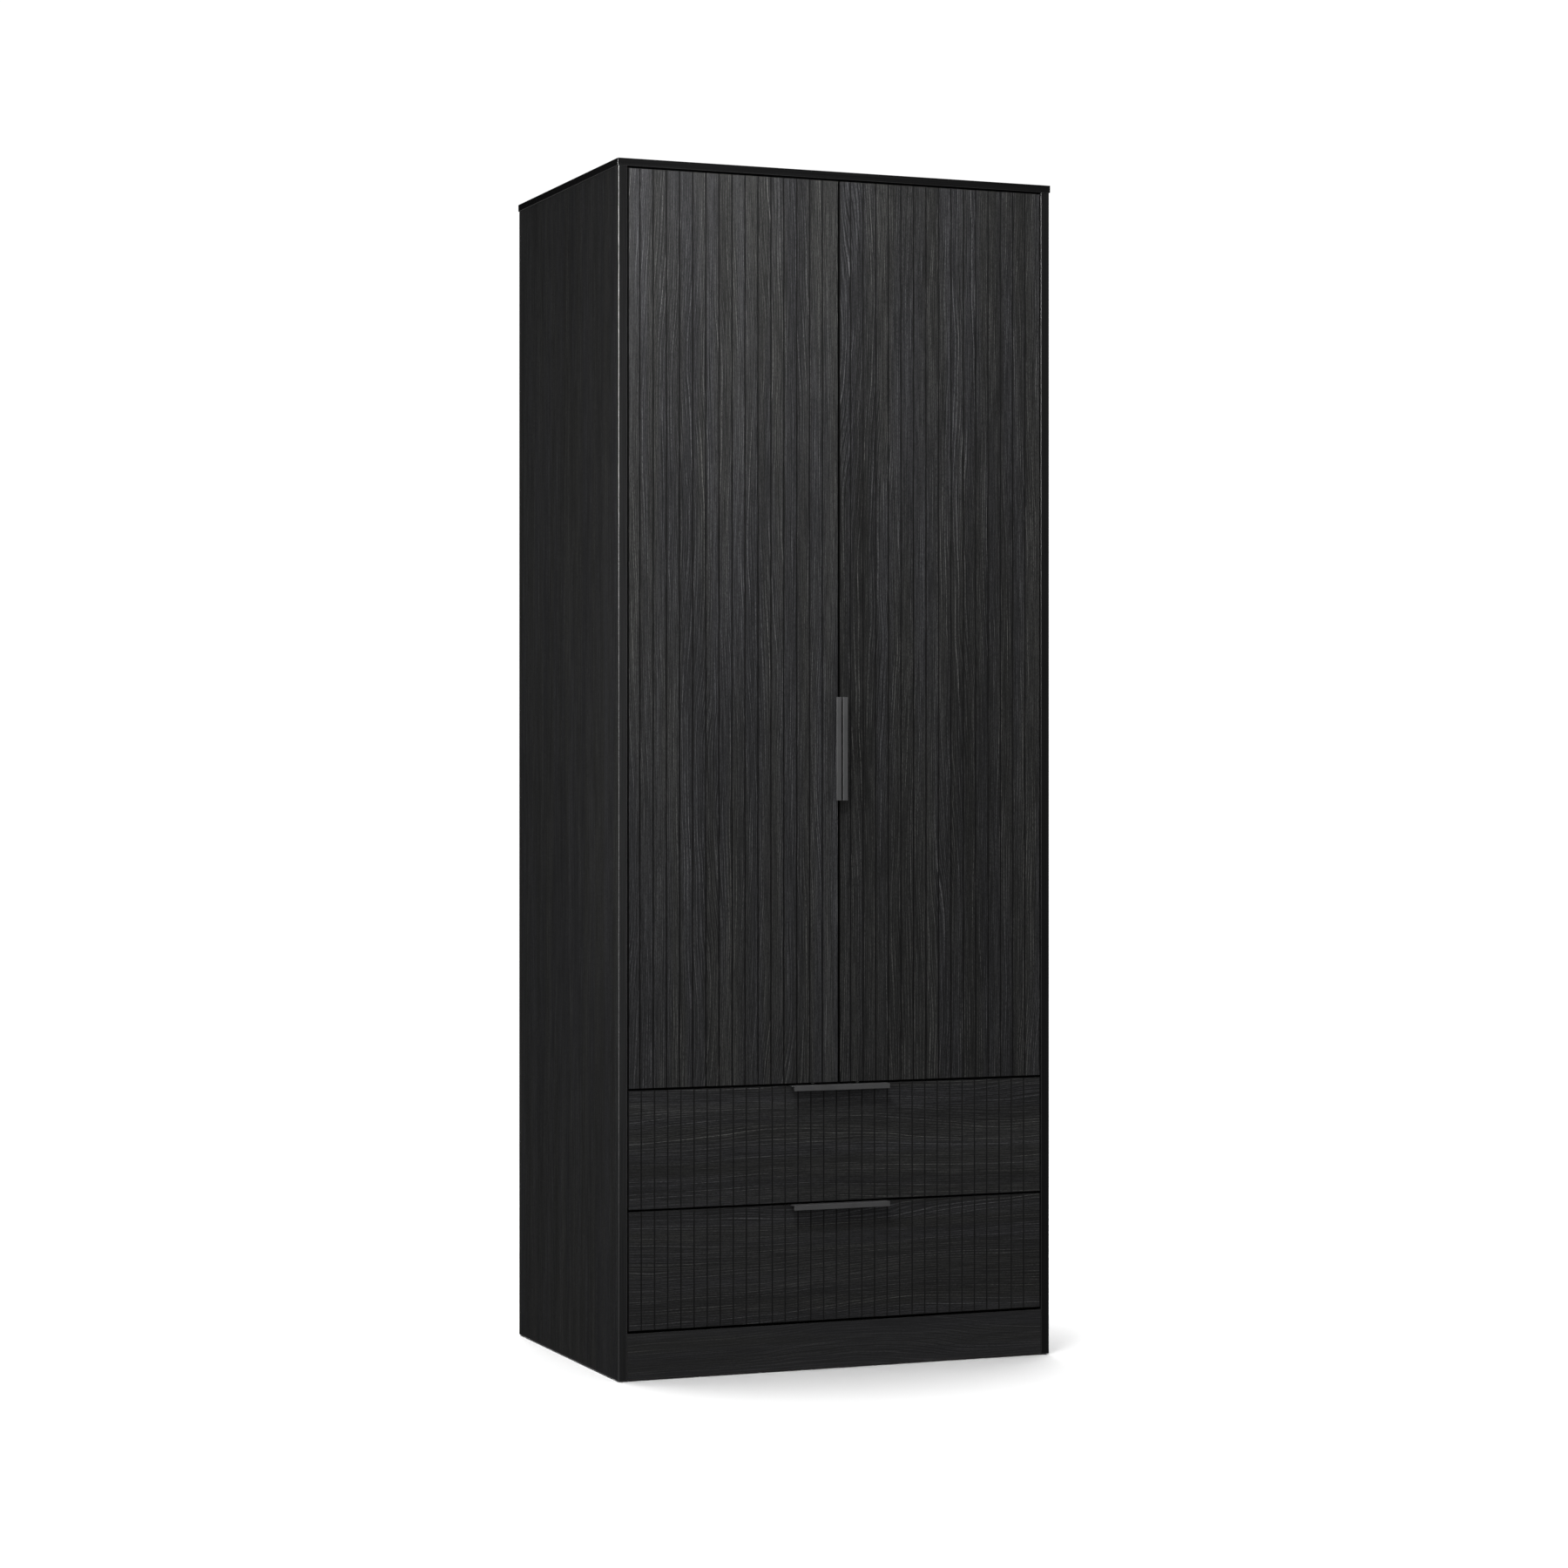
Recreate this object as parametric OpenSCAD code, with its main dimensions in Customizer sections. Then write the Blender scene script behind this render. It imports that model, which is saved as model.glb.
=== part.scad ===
// Two-door wardrobe over two drawers, in 15 mm black-ash board.
// X runs along the front, Y runs from front to back, Z is up, in millimetres.
// The origin is at the middle of the footprint, on the floor.

/* [Carcass] */
// Overall width, across the top panel
overall_w = 770; // [640:1:900]
// Overall height, from the floor to the top surface
overall_h = 1970; // [1850:1:2100]
// Depth of the top panel
top_d = 532; // [500:1:600]
// Thickness of the top panel
top_t = 12; // [10:1:18]
// How far the top stands past the sides and past the door faces
top_lip = 1.5; // [0.5:0.5:4]
// How far the top stands past the rear edges of the sides
rear_lip = 0.5; // [0:0.5:2]
// Thickness of the side panels, shelves, plinths and fronts
board = 15; // [15:1:16]
// Thickness of the hardboard back and drawer bases
hardboard = 3; // [2.5:0.5:4]
// Height of the plinth's top edge above the floor
plinth_top = 77; // [70:1:110]
// Height of the hat shelf's top surface
shelf_top = 1675; // [1600:1:1720]

/* [Doors and drawer fronts] */
// Height of each drawer front
drawer_front_h = 192; // [170:1:210]
// Gap between neighbouring fronts
front_gap = 3; // [2:0.5:4]
// Gap between a front and the side panel
side_gap = 2; // [2:0.25:3]
// How far the boards behind the doors are set back, so that the doors' hinged edges can swing
inner_set_back = 8; // [8:1:20]
// Gap under the lowest drawer front
foot_gap = 4; // [3:0.5:6]
// Distance from one flute to the next
flute_pitch = 22.7; // [18:0.1:30]
// Width of the mouth of a flute
flute_w = 2; // [1:0.1:3]
// Depth of a flute
flute_depth = 1.4; // [0.8:0.1:2]
// Flutes on each door
door_flutes = 15; // [8:1:15]
// Flutes on each drawer front
drawer_flutes = 31; // [16:1:31]
// From a door's left edge to its first flute
door_flute_start = 19.3; // [12:0.1:24]
// From a drawer front's left edge to its first flute
drawer_flute_start = 21.7; // [12:0.1:24]

/* [Handles] */
// Length of each edge pull
pull_l = 170; // [120:1:220]
// How far the lip of a pull stands in front of the face
pull_out = 15.5; // [14:0.5:25]
// Height of the lip
pull_lip = 8.3; // [7:0.1:14]
// Height above the floor of the middle of the door pulls
pull_z = 1020; // [900:1:1200]

/* [Motion hardware] */
// Length of the drawer runners
runner_l = 450; // [400:10:450]
// Radius of the runner rollers
roller_r = 8.5; // [7:0.5:9]
// From a door's hinged edge to its pins
pin_in = 13; // [12:0.5:13.5]
// From the door's face back to its pins
pin_back = 6.6; // [6.4:0.1:6.8]

/* [Hidden] */
$fn = 48;
eps = 0.01;

// Where the faces lie
total_d = top_d + pull_out - top_lip;
y_rear = total_d / 2 - rear_lip;
y_face = pull_out - total_d / 2;
y_door_back = y_face + board;
y_inner = y_door_back + inner_set_back;
inner_x = overall_w / 2 - top_lip - board;
side_mid_x = inner_x + board / 2;
front_x = inner_x - side_gap;
glide_t = 1.5;
glide_r = 7;
glide_pin_r = 1;
glide_pin_l = 12;
glide_from_end = 30;
under_top = overall_h - top_t;
y_back_panel = y_rear - board - hardboard;
groove_deep = 7;
back_panel_x = inner_x + groove_deep - 0.5;
plinth_set_back = 0.5;
plinth_lift = 3;
bumper_gap = 0.3;
bumper_r = 4;
bumper_x = 40;

// Heights of the fronts
drawer_z = [plinth_top + foot_gap, plinth_top + foot_gap + drawer_front_h + front_gap];
door_z = drawer_z[1] + drawer_front_h + front_gap;
door_h = under_top - front_gap - door_z;
door_w = front_x - front_gap / 2;
floor_z = door_z - 9;
base_z = plinth_top - board;
shelf_z = shelf_top - board;
shelf_y = y_inner + 40;
shelf_play = 0.5;
peg_r = 2.5;
peg_deep = 8;
peg_head_r = 7;
peg_from_end = 40;

// Rails
wall_rail_h = 100;
wall_hole_r = 2.5;
wall_hole_spacing = 400;
top_rail_d = 70;
rail_y = (y_door_back + y_back_panel) / 2;
rail_z = shelf_z - 60;
rail_half = 15;
rail_r = 7.5;
rail_wall = 1.2;
socket_wall = 2;
socket_flange_t = 2;
socket_depth = 12;
socket_screw_gap = 8;

// Dowels between the sides and the boards they carry
dowel_r = 4;
dowel_l = 30;
dowel_in_side = 10;
dowel_in_top = 8;
dowel_rows = [-170, 0, 170];
side_dowels = concat(
    [for (y = dowel_rows) [y, floor_z + board / 2]],
    [for (y = dowel_rows) [y, base_z + board / 2]],
    [for (z = [20, 50]) [y_face + plinth_set_back + board / 2, z]],
    [for (z = [20, 45]) [y_back_panel - board / 2, z]],
    [for (y = [y_inner + 20, y_inner + 50]) [y, under_top - board / 2]],
    [for (z = [under_top - 80, under_top - 20]) [y_rear - board / 2, z]]
);

// Screws: shank radius and lengths
wood_screw_r = 1.7;
slim_screw_r = 1.5;
plate_screw_l = 13;
pull_screw_l = 12;
runner_screw_l = 12;
cup_screw_l = 10;

// Hinges
hinge_z = [door_z + 100, door_z + door_h / 2, door_z + door_h - 100];
pin_x = front_x - pin_in;
pin_y = y_face + pin_back;
pin_r = 1.25;
pin_fit = 0.05;
barrel_r = 2.1;
cup_r = 17.5;
cup_depth = 11.5;
cup_wall = 0.8;
cup_in = 21.5 - pin_in;
flange_t = 1;
cup_back = board - pin_back;
cup_floor = cup_back - cup_depth;
cup_screw_z = 22.5;
cup_screw_x = cup_in + 9.5;
arm_t = 1.6;
arm_half = 7;
neck_x = 18;
cross_y = 17;
wall_x = pin_in + side_gap;
arm_rise = 6;
arm_end = 76;
plate_t = 2;
plate_half = 8;
plate_wing_half = 24;
plate_boss_half = 4.5;
plate_y = [24, 72];
plate_screw_y = 44;
clamp_screw_y = 64;
plate_screw_z = 16;

// Drawer boxes
box_t = 12;
box_gap = 13;
box_x = inner_x - box_gap;
box_h = 132;
box_lift = 16;
box_base_up = 9;
box_groove = 6;
y_box = y_door_back;
y_box_end = y_box + runner_l;
cam_r = 7.5;
cam_deep = 9.5;
cam_y = 24;
cam_z = [30, 100];

// Roller runners, measured from the side panel's face and from the underside of the drawer box
steel = 1.2;
runner_foot = -4;
runner_h = roller_r * 2 + 7;
roller_w = 6;
roller_x = [2.2, 2.2 + roller_w];
roller_bore = 2;
axle_r = roller_bore - 0.05;
front_roller_y = y_box + 17;
rear_roller_y = y_box_end - 12;
track_y = front_roller_y + roller_r + 3;
runner_top = runner_foot + runner_h;
runner_floor = runner_foot + steel;
rear_roller_up = runner_floor + roller_r + 0.1;
lip_up = rear_roller_up + roller_r + 0.5;
front_roller_up = lip_up - roller_r - 0.1;
runner_screw_y = [y_box + 50, y_box + runner_l / 2, y_box + runner_l - 60];
runner_screw_up = rear_roller_up + 1;
slide_screw_up = 7;
box_screw_up = [40, 100];
box_screw_l = 30;
slide_screw_l = 10;

// Pulls
pull_t = 1.5;
pull_nose = 2;
pull_tail = 24;
pull_screw_x = 60;
pull_screw_z = 14;

board_black = [0.075, 0.075, 0.08];
edge_black = [0.05, 0.05, 0.052];
pull_black = [0.1, 0.1, 0.105];
hardboard_grey = [0.16, 0.155, 0.15];
liner_grey = [0.3, 0.3, 0.3];
zinc = [0.72, 0.72, 0.74];
nickel = [0.62, 0.62, 0.63];
plastic_white = [0.86, 0.86, 0.84];
plastic_black = [0.06, 0.06, 0.06];

// ---------- shared shapes ----------

// A box between two corners
module span(a, b) {
    translate(a) cube(b - a);
}

// Left half as drawn, and the same mirrored to the right
module both_sides() {
    children();
    mirror([1, 0, 0]) children();
}

// A board with as many V flutes down its front as fit, from x = 0, with its face at y = 0
module fluted_board(w, h, first, count) {
    flutes = [for (i = [0:count - 1]) let (x = first + i * flute_pitch) if (x > flute_w && x < w - flute_w)
        each [[x - flute_w / 2, 0], [x, flute_depth], [x + flute_w / 2, 0]]];
    linear_extrude(h) polygon(concat([[0, 0]], flutes, [[w, 0], [w, board], [0, board]]));
}

// A screw with its head's underside at the origin and its shank down -Z
module screw(shank_r, shank_l, head_r, head_h) {
    slot_l = head_r * 0.9;
    slot_w = head_r * 0.22;
    difference() {
        union() {
            translate([0, 0, -shank_l]) cylinder(r = shank_r, h = shank_l + eps, $fn = 24);
            cylinder(r1 = head_r, r2 = head_r * 0.62, h = head_h, $fn = 24);
        }
        for (turn = [0, 90]) rotate([0, 0, turn])
            translate([-slot_l / 2, -slot_w / 2, head_h * 0.35]) cube([slot_l, slot_w, head_h]);
    }
}

// The space that a screw's shank takes
module screw_hole(shank_r, shank_l) {
    translate([0, 0, -shank_l]) cylinder(r = shank_r, h = shank_l, $fn = 24);
}

// An oval with its long axis up, in the Y-Z plane, extruded along +X
module oval(half, r, l) {
    rotate([90, 0, 90]) linear_extrude(l) union() {
        translate([-r, -(half - r)]) square([2 * r, 2 * (half - r)]);
        for (side = [-1, 1]) translate([0, side * (half - r)]) circle(r = r);
    }
}

// ---------- fixings that more than one board is drilled for ----------

module side_dowel_set() {
    both_sides() for (p = side_dowels) translate([-inner_x - dowel_in_side, p[0], p[1]])
        rotate([0, 90, 0]) cylinder(r = dowel_r, h = dowel_l);
}

module top_dowel_set() {
    both_sides() for (y = dowel_rows)
        translate([-side_mid_x, y, under_top + dowel_in_top - dowel_l]) cylinder(r = dowel_r, h = dowel_l);
}

module peg_places() {
    both_sides() for (y = [shelf_y + peg_from_end, y_back_panel - peg_from_end])
        translate([-inner_x, y, shelf_z]) children();
}

module glide_places() {
    both_sides() for (y = [y_face + glide_from_end, y_rear - glide_from_end])
        translate([-side_mid_x, y, glide_t]) children();
}

// The hinge frame of each left hinge: origin on the pin, X into the door, Y to the back
module left_hinges() {
    for (z = hinge_z) translate([-pin_x, pin_y, z]) children();
}

module plate_screw_places() {
    left_hinges() for (side = [-1, 1])
        translate([-wall_x + plate_t, plate_screw_y, side * plate_screw_z]) rotate([0, 90, 0]) children();
}

module cup_screw_places() {
    left_hinges() for (side = [-1, 1])
        translate([cup_screw_x, cup_back + flange_t, side * cup_screw_z]) rotate([-90, 0, 0]) children();
}

module socket_screw_places() {
    for (side = [-1, 1])
        translate([-inner_x + socket_flange_t, rail_y, rail_z + side * (rail_half + socket_screw_gap)])
            rotate([0, 90, 0]) children();
}

// Through the box side into the end of the box back
module box_screw_places(z) {
    for (up = box_screw_up)
        translate([-box_x, y_box_end - box_t / 2, z + box_lift + up]) rotate([0, -90, 0]) children();
}

// Through the sliding rail into the box side
module slide_screw_places(z) {
    for (y = runner_screw_y)
        translate([-box_x - steel, y, z + box_lift + slide_screw_up]) rotate([0, -90, 0]) children();
}

module runner_screw_places(z) {
    for (y = runner_screw_y)
        translate([-inner_x + steel, y, z + box_lift + runner_screw_up]) rotate([0, 90, 0]) children();
}

// ---------- carcass ----------

module left_side() {
    difference() {
        span([-inner_x - board, y_face, glide_t], [-inner_x, y_rear, under_top]);
        span([-inner_x - groove_deep, y_back_panel, base_z],
            [-inner_x + 1, y_back_panel + hardboard, under_top + 1]);
        side_dowel_set();
        top_dowel_set();
        peg_places() rotate([0, -90, 0]) cylinder(r = peg_r, h = peg_deep);
        glide_places() cylinder(r = glide_pin_r, h = glide_pin_l, $fn = 16);
        plate_screw_places() screw_hole(wood_screw_r, plate_screw_l);
        socket_screw_places() screw_hole(wood_screw_r, plate_screw_l);
        for (z = drawer_z) runner_screw_places(z) screw_hole(wood_screw_r, runner_screw_l);
    }
}

module left_side_panel() { color(board_black) left_side(); }

module right_side_panel() { color(board_black) mirror([1, 0, 0]) left_side(); }

module top_panel() {
    color(edge_black) difference() {
        span([-overall_w / 2, y_face - top_lip, under_top], [overall_w / 2, y_rear + rear_lip, overall_h]);
        top_dowel_set();
    }
}

// A board between the side panels
module cross_board(y0, y1, z0, z1) {
    color(board_black) difference() {
        span([-inner_x, y0, z0], [inner_x, y1, z1]);
        side_dowel_set();
    }
}

module hanging_floor() { cross_board(y_inner, y_back_panel, floor_z, floor_z + board); }

module base_panel() {
    cross_board(y_face + plinth_set_back + board, y_back_panel, base_z, plinth_top);
}

module front_plinth() {
    cross_board(y_face + plinth_set_back, y_face + plinth_set_back + board, plinth_lift, plinth_top);
}

module rear_plinth() { cross_board(y_back_panel - board, y_back_panel, plinth_lift, base_z); }

module front_top_rail() { cross_board(y_inner, y_inner + top_rail_d, under_top - board, under_top); }

// Holes for the two screws that tie the wardrobe to a wall
module wall_holes() {
    for (side = [-1, 1])
        translate([side * wall_hole_spacing / 2, y_rear - board - hardboard - 1, under_top - wall_rail_h / 2])
            rotate([-90, 0, 0]) cylinder(r = wall_hole_r, h = board + hardboard + 2);
}

module wall_rail() {
    difference() {
        cross_board(y_rear - board, y_rear, under_top - wall_rail_h, under_top);
        wall_holes();
    }
}

module back_panel() {
    color(hardboard_grey) difference() {
        span([-back_panel_x, y_back_panel, base_z], [back_panel_x, y_back_panel + hardboard, under_top]);
        wall_holes();
    }
}

module hat_shelf() {
    color(board_black) span([-inner_x + shelf_play, shelf_y, shelf_z],
        [inner_x - shelf_play, y_back_panel - 2 * shelf_play, shelf_top]);
}

module shelf_pegs() {
    color(nickel) peg_places() {
        rotate([0, -90, 0]) cylinder(r = peg_r, h = peg_deep);
        rotate([0, 90, 0]) difference() {
            cylinder(r = peg_head_r, h = peg_deep);
            translate([-peg_head_r - 1, -peg_head_r - 1, -1])
                cube([peg_head_r + 1, 2 * peg_head_r + 2, peg_deep + 2]);
        }
    }
}

module hanging_rail() {
    color(nickel) translate([-inner_x + socket_flange_t, rail_y, rail_z]) difference() {
        oval(rail_half, rail_r, 2 * (inner_x - socket_flange_t));
        translate([-1, 0, 0]) oval(rail_half - rail_wall, rail_r - rail_wall, 2 * inner_x);
    }
}

module left_socket() {
    difference() {
        translate([-inner_x, rail_y, rail_z]) {
            oval(rail_half + 14, rail_r + 4, socket_flange_t);
            oval(rail_half + socket_wall, rail_r + socket_wall, socket_depth);
        }
        translate([-inner_x + socket_flange_t, rail_y, rail_z]) oval(rail_half, rail_r, socket_depth);
        socket_screw_places() screw_hole(wood_screw_r, plate_screw_l);
    }
}

module left_rail_socket() { color(nickel) left_socket(); }

module right_rail_socket() { color(nickel) mirror([1, 0, 0]) left_socket(); }

module rail_socket_screws() {
    color(zinc) both_sides() socket_screw_places() screw(wood_screw_r, plate_screw_l, 3.5, 2);
}

module floor_glides() {
    color(plastic_white) glide_places() {
        translate([0, 0, -glide_t]) cylinder(r = glide_r, h = glide_t);
        cylinder(r = glide_pin_r, h = glide_pin_l, $fn = 16);
    }
}

module carcass_dowels() {
    color([0.76, 0.6, 0.42]) {
        side_dowel_set();
        top_dowel_set();
    }
}

module door_bumpers() {
    color(plastic_white) both_sides() for (z = [floor_z + board / 2 + 3, under_top - board / 2])
        translate([-bumper_x, y_inner, z]) rotate([90, 0, 0])
            cylinder(r = bumper_r, h = inner_set_back - bumper_gap);
}

// ---------- concealed hinges ----------

// The steel arm: a barrel on the pin, a neck that passes round the door's edge, and a channel on the plate
module hinge_arm() {
    run_x = -wall_x + arm_rise;
    half_t = arm_t / 2;
    difference() {
        union() {
            translate([0, 0, -arm_half]) cylinder(r = barrel_r, h = 2 * arm_half);
            span([0, -half_t, -arm_half], [neck_x + half_t, half_t, arm_half]);
            span([neck_x - half_t, -half_t, -arm_half], [neck_x + half_t, cross_y + half_t, arm_half]);
            span([run_x, cross_y - half_t, -arm_half], [neck_x + half_t, cross_y + half_t, arm_half]);
            span([run_x, cross_y - half_t, -arm_half], [run_x + arm_t, arm_end, arm_half]);
            for (side = [-1, 1]) span([run_x - 3.5, plate_y[0] + 2, side > 0 ? arm_half - arm_t : -arm_half],
                [run_x + half_t, arm_end, side > 0 ? arm_half : -arm_half + arm_t]);
        }
        translate([0, 0, -arm_half - 1]) cylinder(r = pin_r + pin_fit, h = 2 * arm_half + 2);
        translate([run_x - 1, clamp_screw_y, 0]) rotate([0, 90, 0]) cylinder(r = 2, h = 4, $fn = 24);
    }
}

// The plate on the side panel, with the boss that the arm sits over
module hinge_plate() {
    difference() {
        union() {
            span([-wall_x, plate_y[0], -plate_half], [-wall_x + plate_t, plate_y[1], plate_half]);
            span([-wall_x, plate_screw_y - 7, -plate_wing_half],
                [-wall_x + plate_t, plate_screw_y + 7, plate_wing_half]);
            span([-wall_x, plate_y[0] + 2, -plate_boss_half],
                [-wall_x + arm_rise, plate_y[1], plate_boss_half]);
        }
        for (side = [-1, 1]) translate([-wall_x - 1, plate_screw_y, side * plate_screw_z])
            rotate([0, 90, 0]) cylinder(r = wood_screw_r, h = 4, $fn = 24);
        translate([-wall_x + 1, clamp_screw_y, 0]) rotate([0, 90, 0]) cylinder(r = 2, h = 8, $fn = 24);
    }
}

// The cup let into the door's back, with the two lugs that hold the pin
module hinge_cup() {
    lug_z = arm_half + 0.4;
    difference() {
        union() {
            difference() {
                union() {
                    translate([cup_in, cup_floor, 0]) rotate([-90, 0, 0])
                        cylinder(r = cup_r, h = cup_depth + flange_t);
                    span([cup_screw_x - 7, cup_back, -cup_screw_z - 6],
                        [cup_screw_x + 5, cup_back + flange_t, cup_screw_z + 6]);
                }
                translate([cup_in, cup_floor + cup_wall, 0]) rotate([-90, 0, 0])
                    cylinder(r = cup_r - cup_wall, h = cup_depth + 3);
            }
            for (side = [-1, 1]) span([-2.5, cup_floor + cup_wall / 2, side > 0 ? lug_z : -lug_z - 2],
                [2.5, 2.5, side > 0 ? lug_z + 2 : -lug_z]);
        }
        translate([0, 0, -lug_z - 3]) cylinder(r = pin_r, h = 2 * lug_z + 6);
        for (side = [-1, 1]) translate([cup_screw_x, cup_back - 1, side * cup_screw_z])
            rotate([-90, 0, 0]) cylinder(r = wood_screw_r, h = 4, $fn = 24);
    }
}

module hinge_pin() {
    pin_half = arm_half + 2.4;
    translate([0, 0, -pin_half]) cylinder(r = pin_r, h = 2 * pin_half);
}

module left_hinge_arms() { color(nickel) left_hinges() hinge_arm(); }

module right_hinge_arms() { color(nickel) mirror([1, 0, 0]) left_hinges() hinge_arm(); }

module hinge_plates() { color(nickel) both_sides() left_hinges() hinge_plate(); }

module hinge_plate_screws() {
    color(zinc) both_sides() {
        plate_screw_places() screw(wood_screw_r, plate_screw_l, 3.6, 2);
        left_hinges() translate([-wall_x + arm_rise + arm_t, clamp_screw_y, 0]) rotate([0, 90, 0])
            screw(2, 5, 3.4, 2);
    }
}

module left_hinge_cups() { color(nickel) left_hinges() hinge_cup(); }

module right_hinge_cups() { color(nickel) mirror([1, 0, 0]) left_hinges() hinge_cup(); }

module left_hinge_pins() { color(zinc) left_hinges() hinge_pin(); }

module right_hinge_pins() { color(zinc) mirror([1, 0, 0]) left_hinges() hinge_pin(); }

// ---------- edge pulls ----------

// A pull along X: the front face is at y = 0 and the board's edge at z = 0, with the board below
module edge_pull() {
    rotate([90, 0, 90]) translate([0, 0, -pull_l / 2]) linear_extrude(pull_l) polygon([
        [-pull_out, 0], [-pull_out, -pull_lip],
        [-pull_out + pull_nose, -pull_lip], [-pull_out + pull_nose, -pull_t],
        [board, -pull_t], [board, -pull_tail], [board + pull_t, -pull_tail], [board + pull_t, 0]]);
}

// The rebate that lets the pull's web lie flush with the board's edge
module pull_rebate() {
    span([-pull_l / 2, -1, -pull_t], [pull_l / 2, board + 1, 1]);
}

module pull_screw_places() {
    for (side = [-1, 1])
        translate([side * pull_screw_x, board + pull_t, -pull_screw_z]) rotate([-90, 0, 0]) children();
}

module pull_with_holes() {
    difference() {
        edge_pull();
        pull_screw_places() screw_hole(wood_screw_r, pull_screw_l);
    }
}

// Puts a pull on the free edge of the left door
module on_left_door_edge() {
    translate([-front_gap / 2, y_face, pull_z]) rotate([0, 90, 0]) children();
}

// ---------- doors ----------

// A door as it hangs on the left side; the flutes are counted from the left on either door
module door_board(flute_start) {
    difference() {
        translate([-front_x, y_face, door_z]) fluted_board(door_w, door_h, flute_start, door_flutes);
        left_hinges() translate([cup_in, cup_floor, 0]) rotate([-90, 0, 0])
            cylinder(r = cup_r, h = cup_depth + 1);
        cup_screw_places() screw_hole(wood_screw_r, cup_screw_l);
        on_left_door_edge() {
            pull_rebate();
            pull_screw_places() screw_hole(wood_screw_r, pull_screw_l);
        }
    }
}

module left_door() { color(board_black) door_board(door_flute_start); }

module right_door() {
    last = door_w - door_flute_start - (door_flutes - 1) * flute_pitch;
    color(board_black) mirror([1, 0, 0]) door_board(last);
}

module left_door_pull() { color(pull_black) on_left_door_edge() pull_with_holes(); }

module right_door_pull() { color(pull_black) mirror([1, 0, 0]) on_left_door_edge() pull_with_holes(); }

module door_screws() {
    cup_screw_places() screw(wood_screw_r, cup_screw_l, 3.4, 1.8);
    on_left_door_edge() pull_screw_places() screw(wood_screw_r, pull_screw_l, 3.2, 1.8);
}

module left_door_screws() { color(zinc) door_screws(); }

module right_door_screws() { color(zinc) mirror([1, 0, 0]) door_screws(); }

// ---------- drawers ----------

module cam_places(z) {
    for (up = cam_z)
        translate([-box_x + box_t, y_box + cam_y, z + box_lift + up]) rotate([0, -90, 0]) children();
}

// A cam in the drawer side, and the bolt that it draws in from the front
module cam_fitting() {
    difference() {
        cylinder(r = cam_r, h = cam_deep, $fn = 32);
        for (turn = [0, 90]) rotate([0, 0, turn]) translate([-4, -0.7, -1]) cube([8, 1.4, 2.5]);
    }
}

module cam_bolts(z) {
    for (up = cam_z) translate([-box_x + box_t / 2, y_box - 9, z + box_lift + up])
        rotate([-90, 0, 0]) cylinder(r = 2.5, h = 9 + cam_y - cam_r, $fn = 24);
}

module on_drawer_edge(z) {
    translate([0, y_face, z + drawer_front_h]) children();
}

module drawer_front(z) {
    color(board_black) difference() {
        translate([-front_x, y_face, z])
            fluted_board(2 * front_x, drawer_front_h, drawer_flute_start, drawer_flutes);
        both_sides() cam_bolts(z);
        on_drawer_edge(z) {
            pull_rebate();
            pull_screw_places() screw_hole(wood_screw_r, pull_screw_l);
        }
    }
}

// The left box side, grooved for the base
module box_side(z) {
    difference() {
        span([-box_x, y_box, z + box_lift], [-box_x + box_t, y_box_end, z + box_lift + box_h]);
        span([-box_x + box_t - box_groove, y_box - 1, z + box_lift + box_base_up],
            [-box_x + box_t + 1, y_box_end + 1, z + box_lift + box_base_up + hardboard]);
        cam_places(z) cylinder(r = cam_r, h = cam_deep, $fn = 32);
        cam_bolts(z);
        box_screw_places(z) screw_hole(wood_screw_r, box_screw_l);
        slide_screw_places(z) screw_hole(slim_screw_r, slide_screw_l);
    }
}

module drawer_left_side(z) { color(liner_grey) box_side(z); }

module drawer_right_side(z) { color(liner_grey) mirror([1, 0, 0]) box_side(z); }

module drawer_back(z) {
    color(liner_grey) difference() {
        span([-box_x + box_t, y_box_end - box_t, z + box_lift + box_base_up + hardboard],
            [box_x - box_t, y_box_end, z + box_lift + box_h - 4]);
        both_sides() box_screw_places(z) screw_hole(wood_screw_r, box_screw_l);
    }
}

module drawer_base(z) {
    color(hardboard_grey) span([-box_x + box_t - box_groove, y_box, z + box_lift + box_base_up],
        [box_x - box_t + box_groove, y_box_end, z + box_lift + box_base_up + hardboard]);
}

module drawer_pull(z) { color(pull_black) on_drawer_edge(z) pull_with_holes(); }

module drawer_cams(z) {
    color(zinc) both_sides() {
        cam_places(z) cam_fitting();
        cam_bolts(z);
    }
}

module drawer_screws(z) {
    color(zinc) {
        on_drawer_edge(z) pull_screw_places() screw(wood_screw_r, pull_screw_l, 3.2, 1.8);
        both_sides() {
            box_screw_places(z) screw(wood_screw_r, box_screw_l, 3.4, 2);
            slide_screw_places(z) screw(slim_screw_r, slide_screw_l, 2.8, 0.8);
        }
    }
}

// ---------- roller runners ----------

// Puts the origin on the left side panel's face, at the front of the box and the height of its underside
module at_runner(z) {
    translate([-inner_x, 0, z + box_lift]) children();
}

// The fixed channel, with the axle of its front roller
module fixed_runner(z) {
    difference() {
        at_runner(z) {
            span([0, y_box + 4, runner_foot], [steel, y_box_end, runner_top]);
            span([0, track_y, runner_foot], [10.5, y_box_end, runner_floor]);
            span([0, track_y, runner_top - steel], [7, y_box_end, runner_top]);
            translate([steel - eps, front_roller_y, front_roller_up]) rotate([0, 90, 0]) {
                cylinder(r = axle_r, h = roller_x[1] - steel + 1, $fn = 24);
                translate([0, 0, roller_x[1] - steel + 0.3]) cylinder(r = 3.4, h = 0.9, $fn = 24);
            }
        }
        runner_screw_places(z) screw_hole(wood_screw_r, runner_screw_l);
    }
}

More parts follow.
